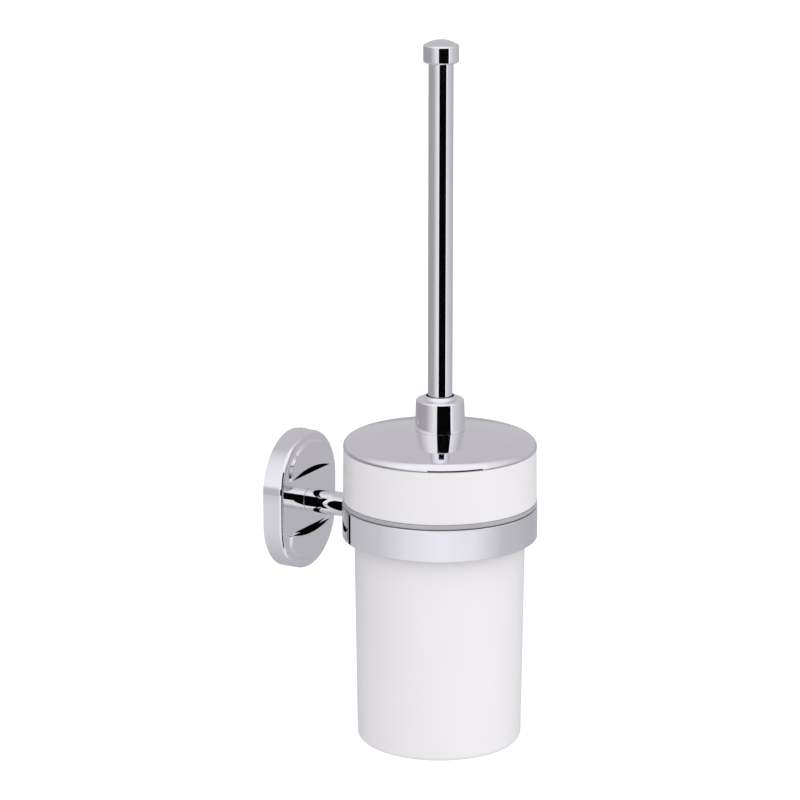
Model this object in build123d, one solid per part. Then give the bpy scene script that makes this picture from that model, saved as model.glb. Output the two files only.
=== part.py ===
from build123d import *
import os
from math import sqrt

# Wall-mounted toilet brush holder.
# Origin: centre of the rosette on the wall plane.  +Z up, the wall on the +Y side, the arm along -Y.
# All sizes in millimetres.

# ---- driving dimensions -----------------------------------------------------------------------
CUP_OFFSET = 89.0          # wall to the common axis of cup, lid and brush

ROSETTE_WIDTH = 58.0
ROSETTE_HEIGHT = 74.0
ROSETTE_DEPTH = 11.3
ROSETTE_WALL = 2.2
ROSETTE_FACE = 3.0         # thickness of the front face
ROSETTE_EDGE = 1.9         # rounding between the face and the skirt
PETAL_HEIGHT = 1.2
PETAL_OUTER = 24.6         # radius of the crescent's outer edge
PETAL_INNER = (16.4, 12.6) # height of the crescent's inner edge at the middle and at the tips
PETAL_TIP = 21.2           # half the distance between the two tips
PETAL_SLOPE = 40.0         # slope of the crescent's walls, degrees

PLATE_WIDTH = 34.0
PLATE_HEIGHT = 52.0
PLATE_THICK = 2.0
SCREW_HOLE = 2.6           # radius of the two wall screw holes
SCREW_SPACING = 36.0
HOOK_OUT = 7.0             # how far the plate's hook and foot stand out from the wall
HOOK_HALF = 12.0
HOOK_TOP = 30.0
FOOT_HALF = 8.0
RIB_HALF = 9.0
RIB_OVERLAP = 2.5          # how far the rosette's rib hangs down behind the hook
GRUB_R = 2.0
GRUB_Y = -4.6
GRUB_BOSS_HALF = 5.0
GRUB_BOSS = 5.0            # height of the boss above the rosette's lower wall
BACK_GAP = 0.5             # rib and boss stop this far short of the wall

ARM_R = 6.35
ARM_THREAD_R = 3.0
ARM_TAP = 12.0             # depth of the tapped holes in the arm's ends
ARM_GRIP = 10.0            # length of thread in them
ARM_HEAD_R = 5.0
ARM_HEAD = 2.4
WASHER_R = 6.0
WASHER = 1.0
RING_THREAD_R = 2.5
COUNTERSINK_R = 4.6

RING_R = 50.5
RING_WALL = 3.0
RING_HEIGHT = 16.6
RING_EDGE = 0.5

LINER_LIP_R = 50.3         # lip that shows above the ring and carries the cup
LINER_LIP = 2.7
LINER_WALL = 2.3
LINER_BORE = 45.1

CUP_TOP_R = 49.8
CUP_SHOULDER_R = 50.1
CUP_NECK_R = 44.5          # just under the shoulder
CUP_FOOT_R = 42.75
CUP_TOP = 38.5
CUP_BOTTOM = -118.0
CUP_UPPER_BORE = 45.4
CUP_LOWER_BORE = 39.8
CUP_FLOOR = 5.0

LID_R = 50.0
LID_BASE = 39.0
LID_DOME_R = 205.0
LID_EDGE = 4.3             # rounding between dome and rim
LID_SHEET = 1.6
LID_RIM = 4.5              # width of the turned-in rim
SEAT_R = 48.6
SEAT_SPIGOT_R = 45.1
SEAT_BORE = 42.6
SEAT_DEPTH = 5.0

COLLAR_TOP = 64.5
COLLAR_BASE_R = 12.95
COLLAR_TOP_R = 12.4
COLLAR_EDGE = 1.3
COLLAR_SPIGOT_R = 10.0
BEAD_R = 8.6               # small raised bead round the rod, on top of the collar
BEAD_TOP = 66.2
BEAD_PLAY = 0.9            # gap between the bead and the rod
BUSH_R = 8.4
BUSH_DEPTH = 6.0           # from the collar's top down to the bush
NUT_R = 14.4               # across the corners, halved
NUT = 3.0
LID_WASHER_R = 15.0
LID_WASHER = 0.8           # thickness at its outer edge
SPIGOT_OUT = 1.0           # how far the collar's spigot stands out below the nut

ROD_R = 6.35
ROD_BORE = 5.15
ROD_TOP = 241.4
ROD_BOTTOM = -14.0
BUSH_PLAY = 0.05           # running clearance of the rod in the lid's bush
STOP_R = 9.0
STOP = 3.0                 # height of the snap ring
STOP_GAP = 0.3             # between the snap ring and the collar's spigot
GROOVE = 0.5
PLUG = 14.0
CAP_R = 9.05
CAP_BASE = 237.9
CAP_SHOULDER = 246.6       # where the side turns into the dome
CAP_EDGE = 0.5
CAP_BEVEL = 0.7
CAP_TOP = 249.5
CAP_TAP = 5.0              # depth of the tapped hole above the tube's end
THREAD_R = 3.0             # M6 stud in the cap
STUD_DOWN = 10.0           # the stud's length below and above the tube's end
STUD_UP = 4.5
HEAD_THREAD_R = 4.0        # M8 stud that the brush head screws onto
HEAD_INSERT = 16.0
HEAD_GRIP = 13.0

HEAD_NECK_R = 8.0
HEAD_CORE_R = 11.0
HEAD_CORE_TOP = -34.0
HEAD_CORE_BOTTOM = -88.0
BRISTLE_R = 33.0
BRISTLE_TOP = -37.0
BRISTLE_BOTTOM = -111.0
BRISTLE_GAP = 0.4

# Places worked out from the dimensions above.
LID_APEX = LID_BASE + LID_DOME_R - sqrt((LID_DOME_R - LID_EDGE) ** 2 - (LID_R - LID_EDGE) ** 2)
LID_UNDERSIDE = LID_APEX - LID_DOME_R + sqrt((LID_DOME_R - LID_SHEET) ** 2 - LID_WASHER_R**2)
NUT_TOP = LID_UNDERSIDE - LID_WASHER
SPIGOT_END = NUT_TOP - NUT - SPIGOT_OUT
BUSH_TOP = COLLAR_TOP - BUSH_DEPTH
STOP_TOP = SPIGOT_END - STOP_GAP
FOOT_Z = -PLATE_HEIGHT / 2
RING_TOP = RING_HEIGHT / 2
SHOULDER = RING_TOP + LINER_LIP
FACE_Y = -ROSETTE_DEPTH
NECK_TOP = ROD_BOTTOM - 1.5
RING_BACK_Y = -CUP_OFFSET + RING_R

os.makedirs("parts", exist_ok=True)


def save(name, shape):
    """Write one sub-part."""
    shape.label = name
    export_step(shape, f"parts/{name}.step")


def on_cup_axis(shape):
    """Move a solid turned about Z to the common axis of cup, lid and brush."""
    return Pos(0, -CUP_OFFSET, 0) * shape


def outline(*corners):
    """Closed face in the radius-height plane."""
    return make_face(Polyline(*corners, close=True))


def rounded(face, radius, *corners):
    """The face with the named corners rounded."""
    picked = [face.vertices().sort_by_distance((r, z, 0))[0] for r, z in corners]
    return fillet(picked, radius)


def turned(face):
    """Solid of revolution of a radius-height face about Z."""
    return revolve(Plane.XZ * face, Axis.Z)


def tube(outer, bore, low, high):
    return turned(outline((bore, low), (outer, low), (outer, high), (bore, high)))


def rod(radius, low, high):
    return Pos(0, 0, low) * Cylinder(radius, high - low, align=(Align.CENTER, Align.CENTER, Align.MIN))


def rod_along_y(radius, near, far):
    """Cylinder about the arm's axis, from y = near out to y = far."""
    return Pos(0, near, 0) * Rot(90, 0, 0) * rod(radius, 0, near - far)


def box(x_low, x_high, y_low, y_high, z_low, z_high):
    centre = ((x_low + x_high) / 2, (y_low + y_high) / 2, (z_low + z_high) / 2)
    return Pos(*centre) * Box(x_high - x_low, y_high - y_low, z_high - z_low)


def upright_slot(width, height, near, far):
    """Stadium block standing on the wall side, from y = near out to y = far."""
    face = Rot(0, 0, 90) * SlotOverall(height, width)
    return Pos(0, near, 0) * Rot(90, 0, 0) * extrude(face, near - far)


# ---- wall side --------------------------------------------------------------------------------

def wall_bracket():
    """Stamped plate: two screw holes, a hook along the top and a foot for the grub screw."""
    plate = box(-PLATE_WIDTH / 2, PLATE_WIDTH / 2, -PLATE_THICK, 0, FOOT_Z, -FOOT_Z)
    plate = fillet(plate.edges().filter_by(Axis.Y), 4.0)
    hook_low = -FOOT_Z - PLATE_THICK
    plate += box(-HOOK_HALF, HOOK_HALF, -HOOK_OUT, 0, hook_low, hook_low + PLATE_THICK)
    plate += box(-HOOK_HALF, HOOK_HALF, -HOOK_OUT, -HOOK_OUT + PLATE_THICK, hook_low, HOOK_TOP)
    plate += box(-FOOT_HALF, FOOT_HALF, -HOOK_OUT, 0, FOOT_Z, FOOT_Z + PLATE_THICK)
    for side in (-1, 1):
        plate -= Pos(0, 0, side * SCREW_SPACING / 2) * rod_along_y(SCREW_HOLE, 1, -PLATE_THICK - 1)
    return plate


def petal():
    """Raised crescent of the rosette's upper half, drawn about the upper end's centre."""
    end_z = (ROSETTE_HEIGHT - ROSETTE_WIDTH) / 2
    middle, tip = PETAL_INNER
    crown = end_z + PETAL_OUTER
    tip_z = end_z + sqrt(PETAL_OUTER**2 - PETAL_TIP**2)
    edge = ThreePointArc((-PETAL_TIP, tip_z), (0, crown), (PETAL_TIP, tip_z))
    inner = ThreePointArc((-PETAL_TIP, tip), (0, middle), (PETAL_TIP, tip))
    sides = [Line((x, tip), (x, tip_z)) for x in (-PETAL_TIP, PETAL_TIP)]
    face = make_face([edge, inner, *sides])
    face = fillet(face.vertices().group_by(Axis.Y)[0], 1.6)
    block = extrude(face, PETAL_HEIGHT, dir=(0, 0, 1), taper=PETAL_SLOPE)
    if block.center().Z < 0:           # a tapered block can come out on the face's far side
        block = mirror(block, about=Plane.XY)
    return Pos(0, FACE_Y, 0) * Rot(90, 0, 0) * block


def rosette():
    """Cast cover: stadium shell with two raised crescents, a hanging rib and a boss for the grub screw."""
    body = upright_slot(ROSETTE_WIDTH, ROSETTE_HEIGHT, 0, FACE_Y)
    body = fillet(body.faces().sort_by(Axis.Y)[0].edges(), ROSETTE_EDGE)
    wall = 2 * ROSETTE_WALL
    hollow = upright_slot(ROSETTE_WIDTH - wall, ROSETTE_HEIGHT - wall, 1, FACE_Y + ROSETTE_FACE)
    body -= hollow
    for flip in (1, -1):
        raised = petal()
        body += raised if flip == 1 else mirror(raised, about=Plane.XY)
    inside = ROSETTE_HEIGHT / 2 - ROSETTE_WALL
    boss_top = -inside + GRUB_BOSS
    body += box(-RIB_HALF, RIB_HALF, -HOOK_OUT + PLATE_THICK, -BACK_GAP, HOOK_TOP - RIB_OVERLAP, inside)
    body += box(-GRUB_BOSS_HALF, GRUB_BOSS_HALF, FACE_Y + ROSETTE_FACE, -BACK_GAP, -inside, boss_top)
    body -= Pos(0, GRUB_Y, 0) * rod(GRUB_R, -ROSETTE_HEIGHT / 2 - 1, boss_top + 1)
    body -= rod_along_y(ARM_THREAD_R + 0.2, 0, FACE_Y - 1)
    return body


def rosette_screw():
    """Grub screw that locks the rosette on the plate, with its hex socket at the bottom."""
    length_low = -ROSETTE_HEIGHT / 2 + 1.2
    screw = Pos(0, GRUB_Y, 0) * rod(GRUB_R, length_low, FOOT_Z)
    socket = extrude(RegularPolygon(1.15, 6), 2.5)
    return screw - Pos(0, GRUB_Y, length_low) * socket


def arm():
    """Solid round bar, tapped at both ends and coped to the ring's curve."""
    bar = rod_along_y(ARM_R, FACE_Y, RING_BACK_Y - 2.0)
    bar -= on_cup_axis(rod(RING_R, -2 * ARM_R, 2 * ARM_R))
    bar -= rod_along_y(ARM_THREAD_R, FACE_Y, FACE_Y - ARM_TAP)
    bar -= rod_along_y(RING_THREAD_R, RING_BACK_Y + ARM_TAP, RING_BACK_Y - 3.0)
    return bar


def arm_screw():
    """Pan-head screw through the rosette's face into the arm."""
    seat = FACE_Y + ROSETTE_FACE + WASHER
    screw = rod_along_y(ARM_HEAD_R, seat + ARM_HEAD, seat)
    screw = fillet(screw.edges().sort_by(Axis.Y)[-1], 0.8)
    screw += rod_along_y(ARM_THREAD_R, seat, FACE_Y - ARM_GRIP)
    socket = extrude(RegularPolygon(2.0, 6), 1.6)
    return screw - Pos(0, seat + ARM_HEAD, 0) * Rot(90, 0, 0) * socket


def arm_washer():
    back = FACE_Y + ROSETTE_FACE
    return rod_along_y(WASHER_R, back + WASHER, back) - rod_along_y(ARM_THREAD_R, back + 2, back - 1)


def ring_band():
    """Flat band that holds the cup, with a countersunk hole for the arm's screw."""
    bore = RING_R - RING_WALL
    face = outline((bore, -RING_TOP), (RING_R, -RING_TOP), (RING_R, RING_TOP), (bore, RING_TOP))
    face = rounded(face, RING_EDGE, (RING_R, -RING_TOP), (RING_R, RING_TOP))
    band = on_cup_axis(turned(face))
    band -= rod_along_y(RING_THREAD_R, RING_BACK_Y + 1, RING_BACK_Y - RING_WALL - 1)
    return band - countersink(0.6)


def countersink(extra):
    """Cone cut from inside the ring; the screw's head fills it up to the ring's bore."""
    inside = RING_BACK_Y - RING_WALL
    cone = Cone(RING_THREAD_R, COUNTERSINK_R, COUNTERSINK_R - RING_THREAD_R)
    depth = (COUNTERSINK_R - RING_THREAD_R) / 2
    cut = Pos(0, inside + depth, 0) * Rot(90, 0, 0) * cone
    return cut + rod_along_y(COUNTERSINK_R, inside, inside - extra)


def ring_screw():
    """Countersunk screw from inside the ring into the arm."""
    inside = RING_BACK_Y - RING_WALL
    screw = countersink(0.05) + rod_along_y(RING_THREAD_R, RING_BACK_Y + ARM_GRIP, inside)
    socket = extrude(RegularPolygon(1.6, 6), 1.4)
    return screw - Pos(0, inside + 0.9, 0) * Rot(90, 0, 0) * socket


def ring_liner():
    """Plastic insert: a sleeve inside the ring and a lip on top of it."""
    sleeve_r = RING_R - RING_WALL - 0.1
    low = -RING_TOP + 1.0
    face = outline(
        (LINER_BORE, low), (sleeve_r, low), (sleeve_r, RING_TOP),
        (LINER_LIP_R, RING_TOP), (LINER_LIP_R, SHOULDER), (LINER_BORE, SHOULDER),
    )
    face = rounded(face, 0.5, (LINER_LIP_R, RING_TOP))
    face = rounded(face, 0.3, (LINER_LIP_R, SHOULDER))
    return on_cup_axis(turned(face))


# ---- cup --------------------------------------------------------------------------------------
def cup():
    """Ceramic cup: straight upper part, a shoulder that rests on the liner, tapered lower part."""
    floor = CUP_BOTTOM + CUP_FLOOR
    foot_bore = CUP_FOOT_R - (CUP_NECK_R - CUP_LOWER_BORE)
    face = outline(
        (0, CUP_BOTTOM), (CUP_FOOT_R, CUP_BOTTOM), (CUP_NECK_R, SHOULDER), (CUP_SHOULDER_R, SHOULDER),
        (CUP_TOP_R, CUP_TOP), (CUP_UPPER_BORE, CUP_TOP), (CUP_UPPER_BORE, SHOULDER + 5.0),
        (CUP_LOWER_BORE, SHOULDER - 2.0), (foot_bore, floor), (0, floor),
    )
    face = rounded(face, 3.5, (CUP_FOOT_R, CUP_BOTTOM))
    face = rounded(face, 6.0, (foot_bore, floor))
    face = rounded(face, 0.8, (CUP_SHOULDER_R, SHOULDER), (CUP_TOP_R, CUP_TOP), (CUP_UPPER_BORE, CUP_TOP))
    return on_cup_axis(turned(face))


# ---- lid --------------------------------------------------------------------------------------
def dome_height(radius, sheet=0.0):
    """Height of the dome's outer face, or of its inner face one sheet below, at a radius."""
    return LID_APEX - LID_DOME_R + sqrt((LID_DOME_R - sheet) ** 2 - radius**2)


def dome_arc(low_r, high_r, sheet=0.0):
    """Arc of the dome between two radii."""
    stops = (low_r, (low_r + high_r) / 2, high_r)
    return ThreePointArc(*[(r, dome_height(r, sheet)) for r in stops])


def lid_shell():
    """Domed lid pressed from sheet, with a rounded edge and a flat turned-in rim."""
    edge_r = LID_R - LID_EDGE
    blend_r = edge_r * LID_DOME_R / (LID_DOME_R - LID_EDGE)
    blend = (blend_r, dome_height(blend_r))
    middle_x = (blend_r - edge_r + LID_EDGE) / 2
    middle = (edge_r + middle_x, LID_BASE + sqrt(LID_EDGE**2 - middle_x**2))
    rim_r = LID_R - LID_RIM
    hole = COLLAR_SPIGOT_R
    rim_top = dome_height(rim_r, LID_SHEET)
    face = make_face([
        dome_arc(hole, blend_r),
        ThreePointArc(blend, middle, (LID_R, LID_BASE)),
        Line((LID_R, LID_BASE), (rim_r, LID_BASE)),
        Line((rim_r, LID_BASE), (rim_r, rim_top)),
        dome_arc(hole, rim_r, LID_SHEET),
        Line((hole, dome_height(hole, LID_SHEET)), (hole, dome_height(hole))),
    ])
    return on_cup_axis(turned(face))


def lid_collar():
    """Tapered collar on the dome, with a threaded spigot through the lid and a bead round the rod."""
    low = SPIGOT_END
    bore = ROD_R + BEAD_PLAY
    bead_lip = (BEAD_R + bore) / 2
    face = make_face([
        Line((BUSH_R, low), (COLLAR_SPIGOT_R, low)),
        Line((COLLAR_SPIGOT_R, low), (COLLAR_SPIGOT_R, dome_height(COLLAR_SPIGOT_R))),
        dome_arc(COLLAR_SPIGOT_R, COLLAR_BASE_R),
        Line((COLLAR_BASE_R, dome_height(COLLAR_BASE_R)), (COLLAR_TOP_R, COLLAR_TOP)),
        Line((COLLAR_TOP_R, COLLAR_TOP), (BEAD_R, COLLAR_TOP)),
        Line((BEAD_R, COLLAR_TOP), (bead_lip, BEAD_TOP)),
        Line((bead_lip, BEAD_TOP), (bore, BEAD_TOP)),
        Line((bore, BEAD_TOP), (bore, BUSH_TOP)),
        Line((bore, BUSH_TOP), (BUSH_R, BUSH_TOP)),
        Line((BUSH_R, BUSH_TOP), (BUSH_R, low)),
    ])
    face = rounded(face, COLLAR_EDGE, (COLLAR_TOP_R, COLLAR_TOP))
    face = rounded(face, 0.25, (bead_lip, BEAD_TOP))
    return on_cup_axis(turned(face))


def collar_bush():
    """Plastic bush in the collar; the rod slides in it."""
    return on_cup_axis(tube(BUSH_R, ROD_R + BUSH_PLAY, SPIGOT_END, BUSH_TOP))


def lid_washer():
    """Soft washer between the dome and the nut, flat below and curved to the dome above."""
    bore = COLLAR_SPIGOT_R
    edge = LID_WASHER_R
    face = make_face([
        Line((bore, NUT_TOP), (edge, NUT_TOP)),
        Line((edge, NUT_TOP), (edge, dome_height(edge, LID_SHEET))),
        dome_arc(bore, edge, LID_SHEET),
        Line((bore, dome_height(bore, LID_SHEET)), (bore, NUT_TOP)),
    ])
    return on_cup_axis(turned(face))


def lid_nut():
    """Thin hexagon nut that clamps the collar to the lid."""
    block = Pos(0, 0, NUT_TOP - NUT) * extrude(RegularPolygon(NUT_R, 6), NUT)
    return on_cup_axis(block - rod(COLLAR_SPIGOT_R, NUT_TOP - NUT - 1, NUT_TOP + 1))


def lid_seat():
    """Dark plastic ring under the lid's rim: a flange on the cup's edge and a spigot inside it."""
    face = outline(
        (SEAT_BORE, CUP_TOP - SEAT_DEPTH), (SEAT_SPIGOT_R, CUP_TOP - SEAT_DEPTH),
        (SEAT_SPIGOT_R, CUP_TOP), (SEAT_R, CUP_TOP), (SEAT_R, LID_BASE),
        (LID_R - LID_RIM, LID_BASE), (LID_R - LID_RIM, LID_BASE + 2.5), (SEAT_BORE, LID_BASE + 2.5),
    )
    face = rounded(face, 0.8, (SEAT_SPIGOT_R, CUP_TOP - SEAT_DEPTH))
    return on_cup_axis(turned(face))


# ---- brush ------------------------------------------------------------------------------------

def handle_rod():
    """Chromed tube with a groove for the stop ring."""
    tube_body = tube(ROD_R, ROD_BORE, ROD_BOTTOM, ROD_TOP)
    return on_cup_axis(tube_body - tube(ROD_R + 1, ROD_R - GROOVE, STOP_TOP - STOP, STOP_TOP))


def stop_ring():
    """Snap ring in the rod's groove, just under the lid's collar."""
    face = outline(
        (ROD_R - GROOVE, STOP_TOP - STOP), (STOP_R, STOP_TOP - STOP),
        (STOP_R, STOP_TOP), (ROD_R - GROOVE, STOP_TOP),
    )
    face = rounded(face, 0.8, (STOP_R, STOP_TOP - STOP), (STOP_R, STOP_TOP))
    ring = turned(face)
    return on_cup_axis(ring - box(ROD_R - 2, STOP_R + 1, -0.6, 0.6, STOP_TOP - STOP - 1, STOP_TOP + 1))


def handle_cap():
    """Domed end cap that takes the end of the tube."""
    tapped = ROD_TOP + CAP_TAP
    edge_r = CAP_R - CAP_EDGE
    sag = CAP_TOP - CAP_SHOULDER - CAP_EDGE
    dome_r = (edge_r**2 + sag**2) / (2 * sag)
    middle = edge_r / 2
    middle_z = CAP_TOP - dome_r + sqrt(dome_r**2 - middle**2)
    face = make_face([
        Line((0, tapped), (THREAD_R, tapped)),
        Line((THREAD_R, tapped), (THREAD_R, ROD_TOP)),
        Line((THREAD_R, ROD_TOP), (ROD_R, ROD_TOP)),
        Line((ROD_R, ROD_TOP), (ROD_R, CAP_BASE)),
        Line((ROD_R, CAP_BASE), (CAP_R - CAP_BEVEL, CAP_BASE)),
        Line((CAP_R - CAP_BEVEL, CAP_BASE), (CAP_R, CAP_BASE + CAP_BEVEL)),
        Line((CAP_R, CAP_BASE + CAP_BEVEL), (CAP_R, CAP_SHOULDER)),
        RadiusArc((CAP_R, CAP_SHOULDER), (edge_r, CAP_SHOULDER + CAP_EDGE), -CAP_EDGE),
        ThreePointArc((edge_r, CAP_SHOULDER + CAP_EDGE), (middle, middle_z), (0, CAP_TOP)),
        Line((0, CAP_TOP), (0, tapped)),
    ])
    return on_cup_axis(turned(face))


def rod_plug():
    """Brass plug in the top of the tube, tapped for the cap's stud."""
    return on_cup_axis(tube(ROD_BORE, THREAD_R, ROD_TOP - PLUG, ROD_TOP))


def cap_stud():
    """Stud that joins the cap to the plug."""
    return on_cup_axis(rod(THREAD_R, ROD_TOP - STUD_DOWN, ROD_TOP + STUD_UP))


def head_stud():
    """Brass insert in the bottom of the tube with the stud for the brush head."""
    insert = rod(ROD_BORE, ROD_BOTTOM, ROD_BOTTOM + HEAD_INSERT)
    return on_cup_axis(insert + rod(HEAD_THREAD_R, ROD_BOTTOM - HEAD_GRIP, ROD_BOTTOM))


def head_washer():
    """Rubber washer between the tube's end and the brush head."""
    return on_cup_axis(tube(HEAD_NECK_R - 0.5, HEAD_THREAD_R, NECK_TOP, ROD_BOTTOM))


def brush_head():
    """Plastic neck and core that carry the bristles, tapped for the stud."""
    socket = NECK_TOP - 14.0
    face = outline(
        (0, HEAD_CORE_BOTTOM), (HEAD_CORE_R, HEAD_CORE_BOTTOM), (HEAD_CORE_R, HEAD_CORE_TOP),
        (HEAD_NECK_R, HEAD_CORE_TOP + 4.0), (HEAD_NECK_R, NECK_TOP), (HEAD_THREAD_R, NECK_TOP),
        (HEAD_THREAD_R, socket), (0, socket),
    )
    face = rounded(face, 7.0, (HEAD_CORE_R, HEAD_CORE_BOTTOM))
    face = rounded(face, 1.0, (HEAD_NECK_R, NECK_TOP))
    return on_cup_axis(turned(face))


def bristles():
    """Outer shape of the bristles: a thick round-bottomed sleeve clear of the core."""
    bore = HEAD_CORE_R + BRISTLE_GAP
    floor = HEAD_CORE_BOTTOM - BRISTLE_GAP
    face = outline(
        (0, BRISTLE_BOTTOM), (BRISTLE_R, BRISTLE_BOTTOM), (BRISTLE_R, BRISTLE_TOP),
        (bore, BRISTLE_TOP), (bore, floor), (0, floor),
    )
    face = rounded(face, 24.0, (BRISTLE_R, BRISTLE_BOTTOM))
    face = rounded(face, 5.0, (BRISTLE_R, BRISTLE_TOP))
    return on_cup_axis(turned(face))


for make in (
    wall_bracket, rosette, rosette_screw, arm, arm_screw, arm_washer, ring_band, ring_screw, ring_liner,
    cup,
    lid_shell, lid_collar, collar_bush, lid_washer, lid_nut, lid_seat,
    handle_rod, stop_ring, handle_cap, rod_plug, cap_stud, head_stud, head_washer, brush_head, bristles,
):
    save(make.__name__, make())
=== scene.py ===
from functools import lru_cache
from math import acos, asin, atan2, cos, pi, radians, sin, sqrt
import random

import bpy
from bpy.props import FloatProperty, FloatVectorProperty, IntProperty, PointerProperty
from mathutils import Euler, Matrix, Vector


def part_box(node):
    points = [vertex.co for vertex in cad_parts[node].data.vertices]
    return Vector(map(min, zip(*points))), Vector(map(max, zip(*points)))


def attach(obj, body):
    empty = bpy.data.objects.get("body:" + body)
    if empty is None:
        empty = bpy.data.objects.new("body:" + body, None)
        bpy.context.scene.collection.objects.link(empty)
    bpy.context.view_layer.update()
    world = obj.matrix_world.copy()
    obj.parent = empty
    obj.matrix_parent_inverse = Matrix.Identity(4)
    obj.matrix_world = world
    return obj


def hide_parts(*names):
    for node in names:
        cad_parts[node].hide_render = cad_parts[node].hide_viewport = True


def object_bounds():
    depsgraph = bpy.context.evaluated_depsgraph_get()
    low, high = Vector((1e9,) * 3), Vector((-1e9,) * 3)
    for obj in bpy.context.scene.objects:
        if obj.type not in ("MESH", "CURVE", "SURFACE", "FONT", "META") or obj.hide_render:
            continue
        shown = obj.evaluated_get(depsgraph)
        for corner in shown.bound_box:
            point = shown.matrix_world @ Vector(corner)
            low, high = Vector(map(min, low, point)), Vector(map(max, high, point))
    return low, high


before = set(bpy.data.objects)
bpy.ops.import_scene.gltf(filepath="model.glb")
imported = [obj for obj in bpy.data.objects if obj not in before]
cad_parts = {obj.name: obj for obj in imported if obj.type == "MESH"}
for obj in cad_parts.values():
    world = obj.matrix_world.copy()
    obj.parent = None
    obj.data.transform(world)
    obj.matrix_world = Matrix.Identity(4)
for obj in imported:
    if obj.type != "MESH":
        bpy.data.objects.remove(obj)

bl_info = {
    "name": "Wall-mounted toilet brush holder",
    "version": (1, 0, 0),
    "blender": (4, 5, 0),
    "location": "View3D > Sidebar > Brush Holder",
    "description": "Models the holder's visible pieces, finishes and a plain studio round a packed frame",
    "category": "Object",
}

MM = 0.001
CAD_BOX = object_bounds()


# ---- places read from the frame ---------------------------------------------------------------
@lru_cache(maxsize=None)
def box(node):
    """Lowest and highest corners of a node at rest."""
    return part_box(node)


def low(node):
    """Height of a node's lowest point."""
    return box(node)[0].z


def high(node):
    """Height of a node's highest point."""
    return box(node)[1].z


def reach(node):
    """Largest radius of a node turned about the cup's axis."""
    corner_low, corner_high = box(node)
    return (corner_high.x - corner_low.x) / 2


AXIS_Y = (box("cup")[0].y + box("cup")[1].y) / 2
FACE_Y = box("arm")[1].y            # the rosette's front face, where the arm starts
SHOULDER = high("ring_liner")


# ---- sizes and finishes that a user may change ------------------------------------------------
def length(name, description, value):
    """A size in metres, given in millimetres."""
    return FloatProperty(name=name, description=description, default=value * MM, min=0.0, unit="LENGTH")


def colour(name, description, value):
    return FloatVectorProperty(
        name=name, description=description, default=value, size=3, min=0.0, max=1.0, subtype="COLOR"
    )


def share(name, description, value):
    return FloatProperty(name=name, description=description, default=value, min=0.0, max=1.0, subtype="FACTOR")


class HolderSizes(bpy.types.PropertyGroup):
    """Sizes that the frame's boxes don't give."""

    rosette_wall: length("Rosette wall", "Thickness of the rosette's skirt", 2.2)
    rosette_face: length("Rosette face", "Thickness of the rosette's front", 3.0)
    rosette_edge: length("Rosette edge", "Rounding between the face and the skirt", 1.9)
    petal_height: length("Petal height", "How far the two crescents stand out", 1.2)
    petal_slope: length("Petal slope", "Width of the crescents' sloping walls", 1.43)
    petal_outer: length("Petal radius", "Radius of the crescents' outer edge", 24.6)
    petal_half: length("Petal half width", "Half the distance between a crescent's tips", 21.2)
    petal_middle: length("Petal inner middle", "Height of the inner edge at its middle", 16.4)
    petal_tip: length("Petal inner tip", "Height of the inner edge at its tips", 12.6)
    ring_wall: length("Ring wall", "Thickness of the ring", 3.0)
    ring_edge: length("Ring edge", "Rounding of the ring's outer edges", 0.5)
    liner_bore: length("Liner bore", "Radius of the liner's bore", 45.1)
    liner_lip: length("Liner lip", "Height of the lip above the ring", 2.7)
    liner_gap: length("Liner gap", "Height of the shadow gap between the ring and the lip", 0.6)
    cup_top: length("Cup top radius", "Radius of the cup's rim", 49.8)
    cup_neck: length("Cup neck radius", "Radius just under the shoulder", 44.5)
    cup_foot: length("Cup foot radius", "Radius at the bottom", 42.75)
    cup_upper_bore: length("Cup upper bore", "Inner radius above the shoulder", 45.4)
    cup_lower_bore: length("Cup lower bore", "Inner radius under the shoulder", 39.8)
    cup_floor: length("Cup floor", "Thickness of the cup's bottom", 5.0)
    dome_radius: length("Dome radius", "Radius of the lid's dome", 205.0)
    lid_edge: length("Lid edge", "Rounding between the dome and the rim", 4.3)
    lid_sheet: length("Lid sheet", "Thickness of the lid's sheet", 1.6)
    lid_rim: length("Lid rim", "Width of the turned-in rim", 4.5)
    collar_base: length("Collar base radius", "Radius where the collar meets the dome", 12.95)
    collar_top: length("Collar top radius", "Radius of the collar's top", 12.4)
    collar_height: length("Collar top", "How far the collar's flat top lies under the bead's top", 1.7)
    bead: length("Bead radius", "Radius of the bead round the rod", 8.6)
    bead_play: length("Bead gap", "Gap between the bead and the rod", 0.9)
    cap_bevel: length("Cap bevel", "Bevel under the end cap", 0.7)
    filament: length("Filament", "Thickness of a bristle", 0.42)
    strands: IntProperty(name="Filaments", description="Filaments in a tuft", default=22, min=3)
    tufts: IntProperty(name="Tufts per row", description="Bristle tufts round the core", default=13, min=4)
    tuft_rows: IntProperty(name="Tuft rows", description="Rows of tufts along the core", default=12, min=2)


class HolderFinishes(bpy.types.PropertyGroup):
    """Colours and polish of the finishes."""

    chrome: colour("Chrome", "Tint of the chrome plating", (0.865, 0.855, 0.875))
    chrome_polish: share("Chrome roughness", "Roughness of the chrome", 0.035)
    glaze: colour("Glaze", "Colour of the cup", (0.64, 0.63, 0.63))
    liner: colour("Liner", "Colour of the liner's plastic", (0.33, 0.33, 0.335))
    # Near black: partly the seat's own dark plastic, partly painted shade for the shadow gap under the lid's rim.
    seat: colour("Seat", "Colour of the ring under the lid", (0.035, 0.035, 0.04))
    filaments: colour("Bristles", "Colour of the bristles", (0.84, 0.84, 0.82))


# ---- modelling steps --------------------------------------------------------------------------
def clear():
    """Object mode with nothing selected."""
    if bpy.context.object and bpy.context.object.mode != "OBJECT":
        bpy.ops.object.mode_set(mode="OBJECT")
    bpy.ops.object.select_all(action="DESELECT")


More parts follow.
